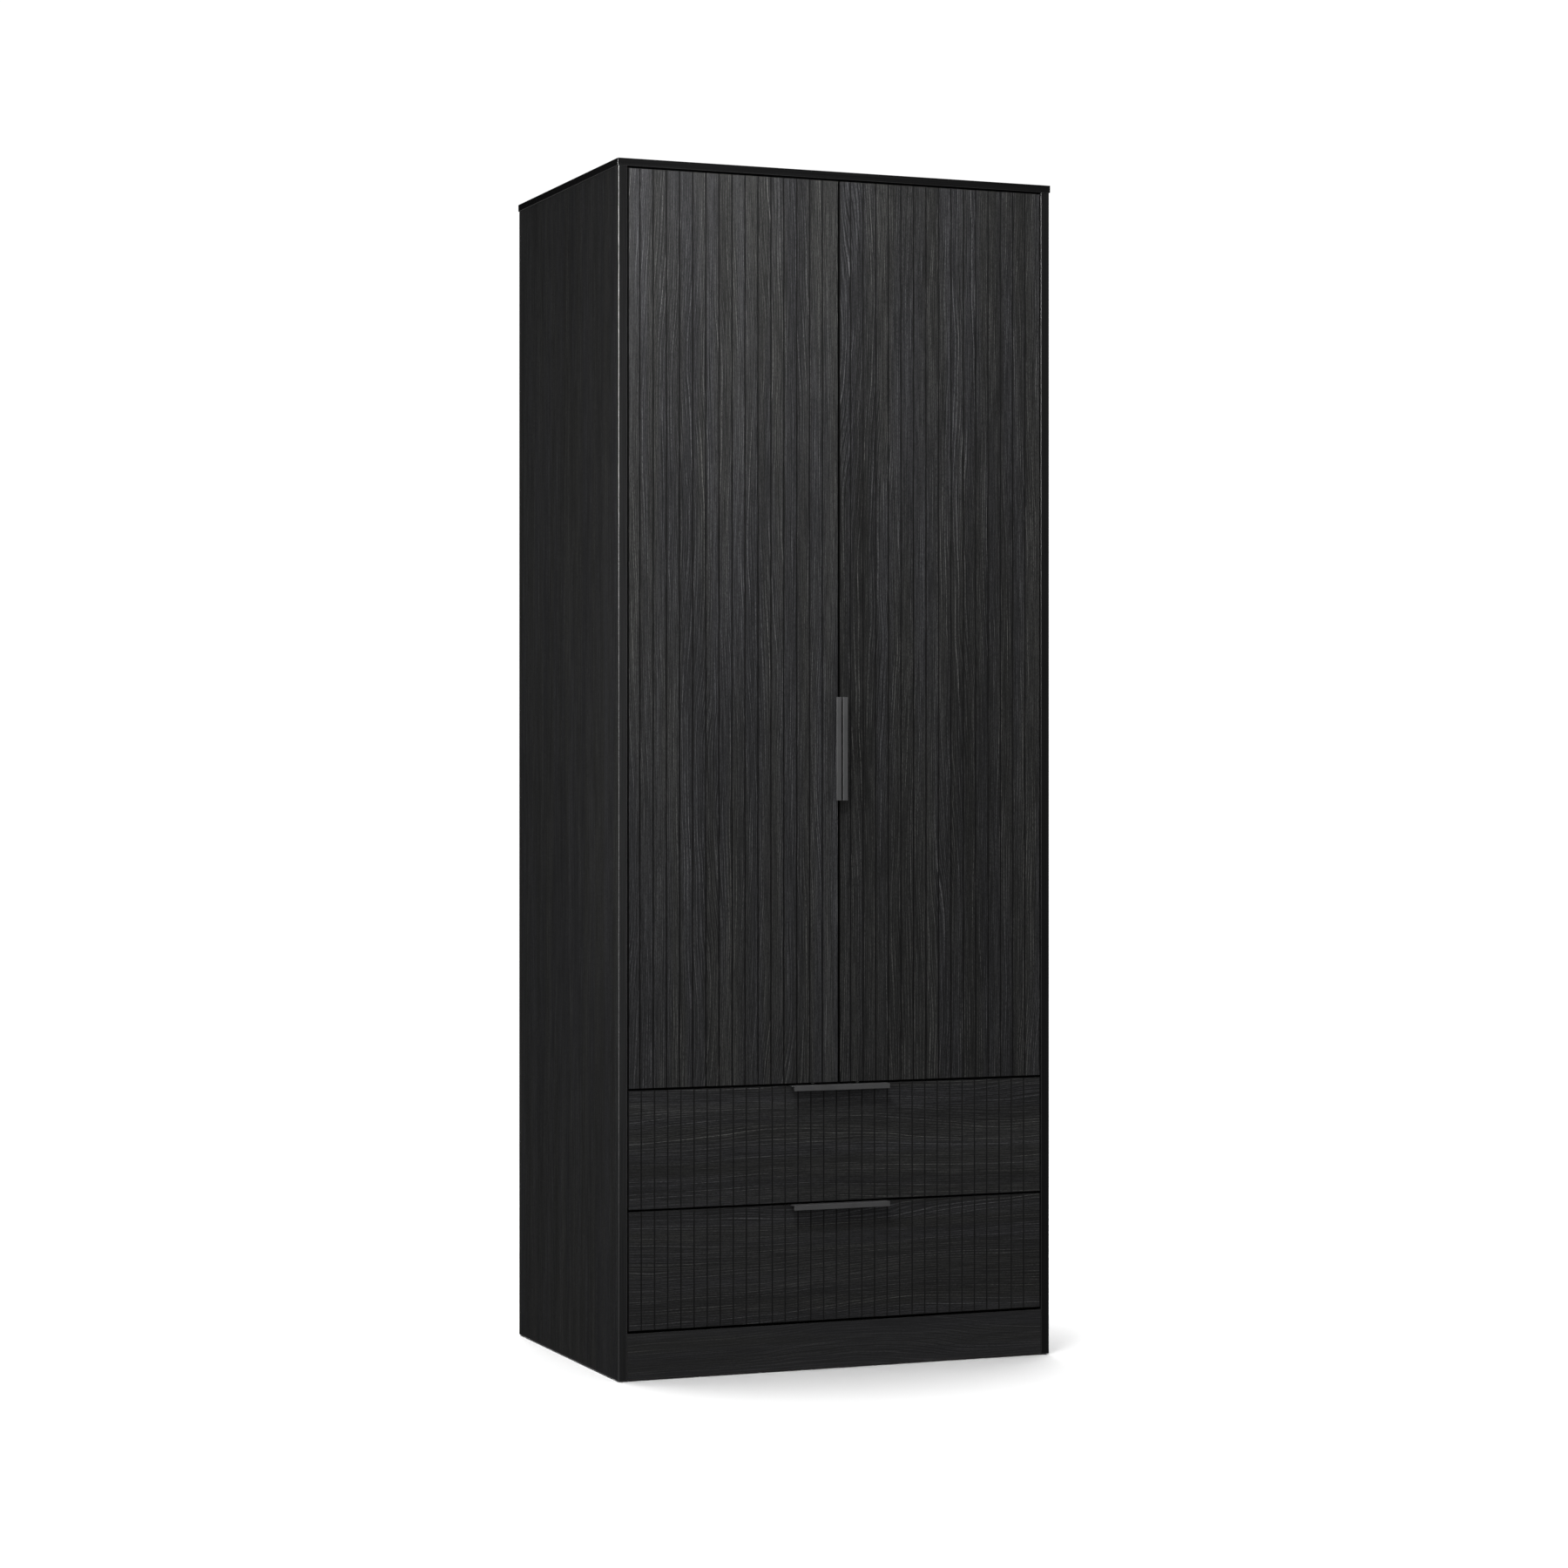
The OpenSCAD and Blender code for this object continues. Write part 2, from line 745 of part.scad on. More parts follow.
// The sliding rail under the box side, with the axle of its rear roller
module sliding_rail(z) {
    difference() {
        sliding_rail_steel(z);
        slide_screw_places(z) screw_hole(slim_screw_r, slide_screw_l);
    }
}

// The rail before it is drilled
module sliding_rail_steel(z) {
    at_runner(z) {
        span([box_gap - steel, y_box + 6, -steel], [box_gap, y_box_end, lip_up + steel]);
        span([box_gap - steel, y_box + 6, -steel], [box_gap + 10, y_box_end, 0]);
        span([roller_x[0] + 0.3, y_box + 6, lip_up], [box_gap, y_box_end - 24, lip_up + steel]);
        translate([roller_x[0] - 1, rear_roller_y, rear_roller_up]) rotate([0, 90, 0]) {
            cylinder(r = axle_r, h = box_gap - roller_x[0], $fn = 24);
            cylinder(r = 3.2, h = 0.7, $fn = 24);
        }
    }
}

// One nylon roller, with its bore and a shallow rim on each face
module roller() {
    difference() {
        rotate([0, 90, 0]) cylinder(r = roller_r, h = roller_w);
        translate([-1, 0, 0]) rotate([0, 90, 0]) cylinder(r = roller_bore, h = roller_w + 2, $fn = 24);
    }
}

module fixed_runners(z) { color(plastic_white) both_sides() fixed_runner(z); }

module drawer_slides(z) { color(plastic_white) both_sides() sliding_rail(z); }

module front_rollers(z) {
    color(plastic_black) both_sides() at_runner(z)
        translate([roller_x[0], front_roller_y, front_roller_up]) roller();
}

module rear_rollers(z) {
    color(plastic_black) both_sides() at_runner(z)
        translate([roller_x[0], rear_roller_y, rear_roller_up]) roller();
}

module runner_screws() {
    color(zinc) both_sides() for (z = drawer_z) runner_screw_places(z)
        screw(wood_screw_r, runner_screw_l, 3.2, 0.9);
}

// ---------- nodes ----------

left_side_panel();
right_side_panel();
top_panel();
hanging_floor();
base_panel();
front_plinth();
rear_plinth();
front_top_rail();
wall_rail();
back_panel();
hat_shelf();
shelf_pegs();
hanging_rail();
left_rail_socket();
right_rail_socket();
rail_socket_screws();
floor_glides();
carcass_dowels();
left_hinge_arms();
right_hinge_arms();
hinge_plates();
hinge_plate_screws();
door_bumpers();
fixed_runners(drawer_z[1]);  // upper_runners
fixed_runners(drawer_z[0]);  // lower_runners
runner_screws();
left_door();
left_door_pull();
left_hinge_cups();
left_hinge_pins();
left_door_screws();
right_door();
right_door_pull();
right_hinge_cups();
right_hinge_pins();
right_door_screws();
drawer_front(drawer_z[1]);  // upper_drawer_front
drawer_left_side(drawer_z[1]);  // upper_drawer_left_side
drawer_right_side(drawer_z[1]);  // upper_drawer_right_side
drawer_back(drawer_z[1]);  // upper_drawer_back
drawer_base(drawer_z[1]);  // upper_drawer_base
drawer_pull(drawer_z[1]);  // upper_drawer_pull
drawer_slides(drawer_z[1]);  // upper_drawer_slides
drawer_cams(drawer_z[1]);  // upper_drawer_cams
drawer_screws(drawer_z[1]);  // upper_drawer_screws
drawer_front(drawer_z[0]);  // lower_drawer_front
drawer_left_side(drawer_z[0]);  // lower_drawer_left_side
drawer_right_side(drawer_z[0]);  // lower_drawer_right_side
drawer_back(drawer_z[0]);  // lower_drawer_back
drawer_base(drawer_z[0]);  // lower_drawer_base
drawer_pull(drawer_z[0]);  // lower_drawer_pull
drawer_slides(drawer_z[0]);  // lower_drawer_slides
drawer_cams(drawer_z[0]);  // lower_drawer_cams
drawer_screws(drawer_z[0]);  // lower_drawer_screws
front_rollers(drawer_z[1]);  // upper_front_rollers
rear_rollers(drawer_z[1]);  // upper_rear_rollers
front_rollers(drawer_z[0]);  // lower_front_rollers
rear_rollers(drawer_z[0]);  // lower_rear_rollers
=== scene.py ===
"""Looks of a black woodgrain wardrobe: fluted boards, edge pulls and fittings, on a plain pale floor."""
import math

import bmesh
import bpy
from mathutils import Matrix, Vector


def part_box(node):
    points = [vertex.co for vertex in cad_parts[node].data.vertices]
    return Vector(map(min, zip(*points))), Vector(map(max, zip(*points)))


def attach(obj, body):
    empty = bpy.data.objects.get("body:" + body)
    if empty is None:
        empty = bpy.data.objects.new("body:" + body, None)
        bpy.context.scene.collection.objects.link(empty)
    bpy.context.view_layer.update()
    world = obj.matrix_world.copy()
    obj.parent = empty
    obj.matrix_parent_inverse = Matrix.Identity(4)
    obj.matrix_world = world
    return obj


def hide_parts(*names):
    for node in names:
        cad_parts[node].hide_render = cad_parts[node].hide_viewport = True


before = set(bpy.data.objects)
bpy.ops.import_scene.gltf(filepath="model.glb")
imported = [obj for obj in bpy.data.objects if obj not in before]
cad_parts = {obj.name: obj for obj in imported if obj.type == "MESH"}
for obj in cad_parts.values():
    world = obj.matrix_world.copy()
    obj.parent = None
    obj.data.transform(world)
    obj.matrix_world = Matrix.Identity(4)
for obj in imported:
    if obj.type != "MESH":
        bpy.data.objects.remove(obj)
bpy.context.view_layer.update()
MM = 0.001

# Sizes of details, in metres
BOARD = 15 * MM                # thickness of the boards
EDGE_ROUND = 0.9 * MM          # rounding of the boards' long edges
TOP_ROUND = 0.5 * MM           # rounding of the top panel's edges
LINER_ROUND = 0.8 * MM         # rounding of the drawer boxes' edges
SHEET_ROUND = 0.3 * MM         # rounding of the hardboard sheets' edges
FITTING_ROUND = 0.18 * MM      # rounding of the fittings that are kept from the CAD
WELD_GAP = 0.002 * MM          # corners of a fitting's mesh that are nearer than this are joined
FLUTE_PITCH = 22.7 * MM
FLUTE_WIDTH = 2.0 * MM
FLUTE_DEPTH = 1.4 * MM
FLUTE_FLOOR_HALF = 0.15 * MM   # half the width of a flute's narrow floor
FLUTE_LIP = 0.25 * MM          # softening of a flute's two lips
DOOR_FLUTES = 15
DOOR_FLUTE_START = 19.3 * MM   # from a door's left edge to the middle of its first flute
DRAWER_FLUTES = 31
DRAWER_FLUTE_START = 21.7 * MM
PULL_METAL = 1.5 * MM          # thickness of a pull's web and tail
PULL_NOSE = 2.0 * MM           # thickness of its lip
PULL_LIP = 8.3 * MM            # height of its lip
PULL_END_ROUND = 0.25 * MM     # rounding of its two ends
ARM_HALF = 7 * MM              # half the height of a hinge arm
CUP_RADIUS = 17.5 * MM
CUP_DEPTH = 11.5 * MM
WALL_HOLE_RADIUS = 2.5 * MM
WALL_HOLE_SPACING = 400 * MM
WALL_CUTTER_START = 10 * MM    # how far in front of the rear rail the cutter of its holes starts
WALL_CUTTER_LENGTH = 40 * MM
CUT_PAST = 5 * MM              # how far a cutter stands out past the surface that it opens
REBATE_PAST = 1 * MM           # how far a rebate's cutter stands out past its pull, front and back
SHARP = math.radians(40)       # a turn between two faces that shows as an edge

# Floor and light
FLOOR_RADIUS = 60
FLOOR_MATT = 1.3               # up to this distance the floor is matt
FLOOR_WHITE = 3.5              # and from this one it has faded into the background
WHITE = 1.05                   # brightness of the background, a little past white
AMBIENT = 0.33                 # strength of the even light from all round
SUN_STRENGTH = 3.6
SUN_WIDTH = math.radians(26)   # a wide sun throws soft shadows
SUN_AIM = (0, -0.16, -1)

# The camera, solved from six corners in the photo
CAMERA_PLACE = (-2.3022, -5.8064, 0.985)
CAMERA_TURN = math.radians(-21.671)
SENSOR = 36
LENS = 83.74
SHIFT_UP = -0.00888


# ---------------------------------------------------------------- node graphs

class Graph:
    """A material's node tree, with short calls for the nodes that the finishes share."""

    def __init__(self, name):
        self.material = bpy.data.materials.new(name)
        self.material.use_nodes = True
        self.tree = self.material.node_tree
        self.shader = self.tree.nodes["Principled BSDF"]
        self.place = None

    def add(self, kind, **settings):
        node = self.tree.nodes.new("ShaderNode" + kind)
        for key, value in settings.items():
            setattr(node, key, value)
        return node

    def feed(self, socket, value):
        if isinstance(value, bpy.types.NodeSocket):
            self.tree.links.new(value, socket)
        else:
            socket.default_value = value

    def math(self, operation, a, b=0.0, c=0.0, clamp=False):
        node = self.add("Math", operation=operation, use_clamp=clamp)
        for socket, value in zip(node.inputs, (a, b, c)):
            self.feed(socket, value)
        return node.outputs[0]

    def object_place(self):
        if self.place is None:
            self.place = self.add("TexCoord").outputs["Object"]
        return self.place

    def scaled_place(self, scale, offset=(0, 0, 0)):
        """The place on the object, stretched by scale, as texture coordinates."""
        mapping = self.add("Mapping")
        mapping.inputs["Scale"].default_value = scale
        mapping.inputs["Location"].default_value = offset
        self.feed(mapping.inputs["Vector"], self.object_place())
        return mapping.outputs[0]

    def noise(self, vector, detail=2.0, roughness=0.5, distortion=0.0):
        node = self.add("TexNoise")
        node.inputs["Scale"].default_value = 1.0
        node.inputs["Detail"].default_value = detail
        node.inputs["Roughness"].default_value = roughness
        node.inputs["Distortion"].default_value = distortion
        self.feed(node.inputs["Vector"], vector)
        return node.outputs[0]

    def remap(self, value, from_low, from_high, to_low=0.0, to_high=1.0, smooth=False):
        node = self.add("MapRange", interpolation_type="SMOOTHSTEP" if smooth else "LINEAR")
        for socket, number in zip(node.inputs[1:5], (from_low, from_high, to_low, to_high)):
            socket.default_value = number
        self.feed(node.inputs[0], value)
        return node.outputs[0]

    def ramp(self, value, *stops):
        node = self.add("ValToRGB")
        elements = node.color_ramp.elements
        while len(elements) < len(stops):
            elements.new(0.5)
        for element, (position, colour) in zip(elements, stops):
            element.position = position
            element.color = (*colour, 1.0)
        self.feed(node.inputs[0], value)
        return node.outputs[0]

    def tint(self, factor, colour_a, colour_b, blend="MIX"):
        node = self.add("Mix", data_type="RGBA", blend_type=blend)
        self.feed(node.inputs[0], factor)
        self.feed(node.inputs[6], colour_a)
        self.feed(node.inputs[7], colour_b)
        return node.outputs[2]

    def bump(self, height, distance, strength):
        node = self.add("Bump")
        node.inputs["Strength"].default_value = strength
        node.inputs["Distance"].default_value = distance
        self.feed(node.inputs["Height"], height)
        self.feed(self.shader.inputs["Normal"], node.outputs[0])

    def finish(self, **sockets):
        for name, value in sockets.items():
            self.feed(self.shader.inputs[name.replace("_", " ")], value)
        return self.material


# ---------------------------------------------------------------- finishes

# Colours of the woodgrain, from its pores to its lightest lines, and of the edging
WOOD_TONES = ((0.006, 0.006, 0.0062), (0.024, 0.024, 0.0245), (0.072, 0.072, 0.0725), (0.14, 0.14, 0.138))
WOOD_WARM = (1.012, 1.012, 0.975, 1)
WOOD_COOL = (0.985, 0.987, 1.04, 1)
TAPE_TONES = ((0.011, 0.011, 0.0113), (0.025, 0.025, 0.0254))
LINER_TONES = ((0.07, 0.07, 0.073), (0.125, 0.125, 0.13))
BEECH_TONES = ((0.42, 0.27, 0.15), (0.62, 0.44, 0.27))
FLOOR_TONES = ((0.88, 0.88, 0.88), (0.9, 0.9, 0.9))


def at_level(level, colours):
    """The colours, each made lighter or darker by the same factor."""
    return [tuple(c * level for c in rgb) for rgb in colours]


def grain_place(graph, along, across_scale, along_scale, shift):
    """Texture coordinates stretched along the grain, which runs along the axis 'along'."""
    scale = [across_scale] * 3
    scale["XYZ".index(along)] = along_scale
    return graph.scaled_place(scale, (shift, shift * 0.37, shift * 0.71))


def growth_rings(graph, along, shift, spacing, sweep):
    """A number that rises by one from each growth line to the next.

    The lines are about 'spacing' apart. They wander by 'sweep' lines, so some close into tall arches."""
    split = graph.add("SeparateXYZ")
    graph.feed(split.inputs[0], graph.object_place())
    across = graph.math("ADD", *(split.outputs[axis] for axis in "XYZ" if axis != along))
    sway = graph.noise(grain_place(graph, along, 9, 1.7, shift), detail=1.5, roughness=0.4)
    wobble = graph.noise(grain_place(graph, along, 30, 10, shift + 23), detail=1.5)
    count = graph.math("MULTIPLY_ADD", across, 1 / spacing, graph.math("MULTIPLY", sway, sweep))
    return graph.math("MULTIPLY_ADD", wobble, 1.3, count)


def ring_light(graph, rings, along, shift, run):
    """How strongly each growth line shows: it differs from line to line, and fades in and out along it."""
    number = graph.math("FLOOR", rings)
    split = graph.add("SeparateXYZ")
    graph.feed(split.inputs[0], graph.object_place())
    place = graph.add("CombineXYZ")
    graph.feed(place.inputs[0], graph.math("MULTIPLY_ADD", number, 7.31, shift))
    graph.feed(place.inputs[1], graph.math("MULTIPLY", split.outputs[along], run))
    return graph.noise(place.outputs[0], detail=2, roughness=0.6)


def black_wood(name, along="Z", shift=0.0, contrast=1.0, level=1.0, run=3.2, gloss=0.16,
               sweep=19.0, spacing=0.0042):
    """Black woodgrain laminate: thin light growth lines, dark pores and a speckle of fibres."""
    graph = Graph(name)
    rings = growth_rings(graph, along, shift, spacing, sweep)
    fine_sway = graph.noise(grain_place(graph, along, 90, 7, shift + 5))
    fine_rings = graph.math("MULTIPLY_ADD", rings, 1.9, fine_sway)
    speckle = graph.noise(grain_place(graph, along, 1000, 260, shift + 7), detail=2, roughness=0.7)
    fibres = graph.noise(grain_place(graph, along, 820, 16, shift + 11), detail=2, roughness=0.6)
    bands = graph.noise(grain_place(graph, along, 26, 1.1, shift + 13), detail=1.5)

    phase = graph.math("FRACT", rings)
    streak = graph.remap(ring_light(graph, rings, along, shift, run), 0.44, 0.68, smooth=True)
    line = graph.remap(graph.math("PINGPONG", phase, 0.5), 0.34, 0.47, smooth=True)
    light_line = graph.math("MULTIPLY", line, streak)
    light_line = graph.math("MULTIPLY", light_line, graph.remap(speckle, 0.36, 0.56, 0.35, 1.0))
    fine_line = graph.remap(graph.math("PINGPONG", fine_rings, 0.5), 0.12, 0.42, -1.0, 1.0)
    pore = graph.remap(graph.math("PINGPONG", phase, 0.5), 0.0, 0.13, 1.0, 0.0, smooth=True)

    tone = graph.math("MULTIPLY_ADD", graph.math("SUBTRACT", bands, 0.5), 0.36 * contrast, 0.36)
    tone = graph.math("MULTIPLY_ADD", graph.math("SUBTRACT", speckle, 0.5), 0.5 * contrast, tone)
    tone = graph.math("MULTIPLY_ADD", graph.math("SUBTRACT", fibres, 0.5), 0.75 * contrast, tone)
    tone = graph.math("MULTIPLY_ADD", fine_line, 0.09 * contrast, tone)
    tone = graph.math("MULTIPLY_ADD", pore, -0.17 * contrast, tone)
    tone = graph.math("MULTIPLY_ADD", light_line, 0.46 * contrast, tone, clamp=True)

    black, dark, light, white = at_level(level, WOOD_TONES)
    wood = graph.ramp(tone, (0.0, black), (0.36, dark), (0.72, light), (1.0, white))
    hue = graph.remap(graph.noise(grain_place(graph, along, 34, 1.3, shift + 31), detail=1), 0.4, 0.62)
    warm = graph.tint(1.0, wood, WOOD_WARM, "MULTIPLY")
    cool = graph.tint(1.0, wood, WOOD_COOL, "MULTIPLY")
    wood = graph.tint(hue, warm, cool)
    relief = graph.math("MULTIPLY_ADD", light_line, 0.8, graph.math("MULTIPLY_ADD", pore, -1.0, fibres))
    graph.bump(relief, 0.0001, 0.5)
    return graph.finish(Base_Color=wood, Roughness=graph.remap(tone, 0.1, 0.9, 0.55, 0.42),
                        Specular_IOR_Level=gloss)


def edge_tape(name, along="Z", level=1.0, gloss=0.02, roughness=0.4):
    """Plastic edging: the same black, nearly plain, with faint lines along the board."""
    graph = Graph(name)
    lines = graph.noise(grain_place(graph, along, 900, 6, 2.0), detail=2)
    speckle = graph.noise(graph.scaled_place((2500, 2500, 2500)), detail=1)
    tone = graph.math("MULTIPLY_ADD", speckle, 0.3, lines)
    dark, light = at_level(level, TAPE_TONES)
    graph.bump(tone, 0.00005, 0.3)
    return graph.finish(Base_Color=graph.ramp(tone, (0.35, dark), (0.95, light)),
                        Roughness=graph.remap(tone, 0.3, 0.9, roughness, roughness - 0.08),
                        Specular_IOR_Level=gloss)


def powder_coat(name, colour, roughness):
    """Fine orange-peel powder coat, lighter in some patches than in others."""
    graph = Graph(name)
    peel = graph.noise(graph.scaled_place((1400, 1400, 1400)), detail=2)
    patches = graph.noise(graph.scaled_place((35, 35, 35)), detail=3)
    low = tuple(c * 0.88 for c in colour)
    high = tuple(c * 1.12 for c in colour)
    graph.bump(peel, 0.00006, 0.35)
    return graph.finish(Base_Color=graph.ramp(patches, (0.3, low), (0.7, high)),
                        Roughness=graph.remap(peel, 0.2, 0.8, roughness - 0.06, roughness + 0.06))


def plated(name, colour, roughness, along=(60, 1800, 1800)):
    """Plated steel with faint drawing lines and slight clouding."""
    graph = Graph(name)
    lines = graph.noise(graph.scaled_place(along), detail=2)
    clouds = graph.noise(graph.scaled_place((120, 120, 120)), detail=3)
    low = tuple(c * 0.82 for c in colour)
    graph.bump(lines, 0.00002, 0.3)
    return graph.finish(Base_Color=graph.ramp(clouds, (0.25, low), (0.75, colour)), Metallic=1.0,
                        Roughness=graph.remap(lines, 0.2, 0.8, roughness * 0.75, roughness * 1.3))


def moulded(name, colour, roughness=0.45):
    """Moulded plastic with a fine spark-eroded grain."""
    graph = Graph(name)
    grain = graph.noise(graph.scaled_place((2200, 2200, 2200)), detail=2)
    flow = graph.noise(graph.scaled_place((90, 90, 90)), detail=2)
    low = tuple(c * 0.9 for c in colour)
    graph.bump(grain, 0.00004, 0.4)
    return graph.finish(Base_Color=graph.ramp(flow, (0.3, low), (0.7, colour)),
                        Roughness=graph.remap(grain, 0.2, 0.8, roughness - 0.05, roughness + 0.08))


def liner_foil(name):
    """Grey linen-printed foil on the drawer boxes."""
    graph = Graph(name)
    warp = graph.noise(graph.scaled_place((1500, 60, 60)), detail=2)
    weft = graph.noise(graph.scaled_place((60, 60, 1500)), detail=2)
    cloth = graph.math("MULTIPLY_ADD", weft, 0.5, graph.math("MULTIPLY", warp, 0.5))
    low, high = LINER_TONES
    graph.bump(cloth, 0.00005, 0.4)
    return graph.finish(Base_Color=graph.ramp(cloth, (0.3, low), (0.7, high)),
                        Roughness=graph.remap(cloth, 0.2, 0.8, 0.5, 0.62))


def fibreboard(name, low, high):
    """Hardboard: fine pressed fibres with darker specks."""
    graph = Graph(name)
    fibres = graph.noise(graph.scaled_place((420, 420, 420)), detail=4, roughness=0.7, distortion=1.5)
    clouds = graph.noise(graph.scaled_place((18, 18, 18)), detail=3)
    tone = graph.math("MULTIPLY_ADD", clouds, 0.22, graph.math("MULTIPLY", fibres, 0.78))
    graph.bump(fibres, 0.00008, 0.5)
    return graph.finish(Base_Color=graph.ramp(tone, (0.3, low), (0.7, high)),
                        Roughness=graph.remap(fibres, 0.2, 0.8, 0.62, 0.78), Specular_IOR_Level=0.3)


def beech(name):
    """Turned beech with short flecks."""
    graph = Graph(name)
    flecks = graph.noise(graph.scaled_place((90, 900, 900)), detail=3)
    low, high = BEECH_TONES
    graph.bump(flecks, 0.00006, 0.5)
    return graph.finish(Base_Color=graph.ramp(flecks, (0.3, low), (0.7, high)),
                        Roughness=graph.remap(flecks, 0.2, 0.8, 0.5, 0.65))


# The side panels carry a darker copy of the woodgrain (level 0.57): painted shade, standing in for the
# side's dimmer light.
WOOD_UP = black_wood("wood_side", "Z", shift=5.0, contrast=0.85, level=0.57, gloss=0.015, sweep=9.0)
WOOD_LEFT_DOOR = black_wood("wood_left_door", "Z", shift=1.3, contrast=1.25)
# The right door and the drawer fronts carry darker copies of the same woodgrain, the lower drawer darkest:
# painted shade, for light that falls off to the right and downwards.
WOOD_RIGHT_DOOR = black_wood("wood_right_door", "Z", shift=9.6, contrast=1.5, level=0.84)
WOOD_UPPER_FRONT = black_wood("wood_upper_front", "X", shift=14.2, contrast=1.3, level=0.88, run=1.6)
WOOD_LOWER_FRONT = black_wood("wood_lower_front", "X", shift=21.9, contrast=1.35, level=0.77, run=1.6)
WOOD_FLAT = black_wood("wood_flat", "X", shift=27.5, contrast=0.6, level=0.9)
# TAPE_UP, TAPE_DOOR and TAPE_TOP are darker copies of the same edging: painted shade, deepest on the
# doors' edges along the seams and on the top panel's edges.
TAPE_UP = edge_tape("edge_tape_up", "Z", level=0.7)
TAPE_DOOR = edge_tape("edge_tape_door", "Z", level=0.5, gloss=0.0, roughness=0.6)
TAPE_FLAT = edge_tape("edge_tape_flat", "X")
TAPE_TOP = edge_tape("edge_tape_top", "X", level=0.42, gloss=0.0)
# The flutes' walls get a plain matt tone of their own: darker on the doors as painted shade in their
# grooves, and lighter on the drawers as painted light that softens their grooves' shade.
FLUTE_DOOR = edge_tape("flute_door", "Z", level=0.95, gloss=0.0, roughness=0.6)
FLUTE_DRAWER = edge_tape("flute_drawer", "Z", level=1.45, gloss=0.0, roughness=0.6)
# Edging for the boards' roundings: glossier than the flat edging, to catch the edge strip's light, and
# lighter in colour as a painted highlight along the edges.
HIGHLIGHT_TRIM = edge_tape("highlight_trim_edge", "Z", level=1.2, gloss=0.55, roughness=0.3)
HIGHLIGHT_TRIM_MATT = edge_tape("highlight_trim_edge_matt", "Z", level=1.2, gloss=0.25, roughness=0.33)
PULL_BLACK = powder_coat("pull_black", (0.072, 0.072, 0.074), roughness=0.38)
RUNNER_WHITE = powder_coat("runner_white", (0.72, 0.72, 0.7), roughness=0.35)
NICKEL = plated("nickel", (0.62, 0.6, 0.56), 0.26)
CHROME = plated("chrome", (0.72, 0.72, 0.73), 0.12, along=(20, 900, 900))
ZINC = plated("zinc", (0.6, 0.62, 0.66), 0.3, along=(900, 900, 900))
NYLON = moulded("roller_nylon", (0.03, 0.03, 0.031), 0.4)
PLASTIC_WHITE = moulded("plastic_white", (0.74, 0.74, 0.71))
LINER = liner_foil("liner_foil")
HARDBOARD_DARK = fibreboard("hardboard_dark", (0.012, 0.012, 0.0125), (0.024, 0.024, 0.025))
HARDBOARD_RAW = fibreboard("hardboard_raw", (0.11, 0.065, 0.035), (0.2, 0.13, 0.078))
BEECH = beech("beech")


# ---------------------------------------------------------------- mesh code

# The places of the finishes among the materials of a plain board, and of a fluted one
WOOD, EDGE, TRIM = 0, 1, 2
FLUTE = 2


def shade(bm):
    """Smooth shading, broken where the surface turns sharply."""
    for face in bm.faces:
        face.smooth = True
    for edge in bm.edges:
        edge.smooth = len(edge.link_faces) == 2 and edge.calc_face_angle() < SHARP


def make_object(name, bm, materials, pick=None):
    """Turns bm into an object. pick(face), where there is one, gives the index of the face's material."""
    bmesh.ops.recalc_face_normals(bm, faces=bm.faces[:])
    if pick:
        for face in bm.faces:
            face.material_index = pick(face)
    shade(bm)
    mesh = bpy.data.meshes.new(name)
    bm.to_mesh(mesh)
    bm.free()
    for material in materials:
        mesh.materials.append(material)
    piece = bpy.data.objects.new(name, mesh)
    bpy.context.scene.collection.objects.link(piece)
    return piece


def place(piece, body, slot, *nodes):
    """Hands a finished piece to the frame, with its flat faces shaded flat up to their rounded edges."""
    weighted = piece.modifiers.new("flat_faces", "WEIGHTED_NORMAL")
    weighted.keep_sharp = True
    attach(piece, body)
    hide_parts(*nodes)
    return piece


def box_mesh(bm, low, high):
    """Adds the box between two corners to bm."""
    made = bmesh.ops.create_cube(bm, size=1.0)
    for vert in made["verts"]:
        vert.co = Vector((high[i] if vert.co[i] > 0 else low[i]) for i in range(3))


def slab_mesh(low, high, radius):
    """A board with all its edges rounded."""
    bm = bmesh.new()
    box_mesh(bm, low, high)
    bmesh.ops.bevel(bm, geom=bm.edges[:], offset=radius, segments=3, profile=0.5, affect="EDGES")
    return bm


def board_finish(face, axis):
    """Woodgrain on a board's two faces, edging on its edges and trim on the rounding between them."""
    if max(abs(c) for c in face.normal) < 0.99:
        return TRIM
    return WOOD if abs(face.normal[axis]) > 0.9 else EDGE


def thin_axis(low, high):
    """The axis that a board is thinnest along."""
    size = [high[i] - low[i] for i in range(3)]
    return size.index(min(size))


def board(node, body, material, tape, trim=HIGHLIGHT_TRIM_MATT, slot="black_board", radius=EDGE_ROUND,
          holes=None):
    """A board in place of the CAD node: woodgrain on its two faces and edging round it."""
    low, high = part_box(node)
    axis = thin_axis(low, high)
    piece = make_object(node + "_board", slab_mesh(low, high, radius), [material, tape, trim],
                        lambda face: board_finish(face, axis))
    if holes:
        cut(piece, holes())
    return place(piece, body, slot, node)


def cylinder_mesh(bm, start, axis, radius, depth, segments):
    """Adds a cylinder that runs from start along axis to bm."""
    turn = Vector((0, 0, 1)).rotation_difference(Vector(axis)).to_matrix().to_4x4()
    made = bmesh.ops.create_cone(bm, cap_ends=True, segments=segments, radius1=radius, radius2=radius,
                                 depth=depth)
    middle = Vector(start) + Vector(axis) * depth / 2
    bmesh.ops.transform(bm, matrix=turn, verts=made["verts"])
    bmesh.ops.translate(bm, vec=middle, verts=made["verts"])


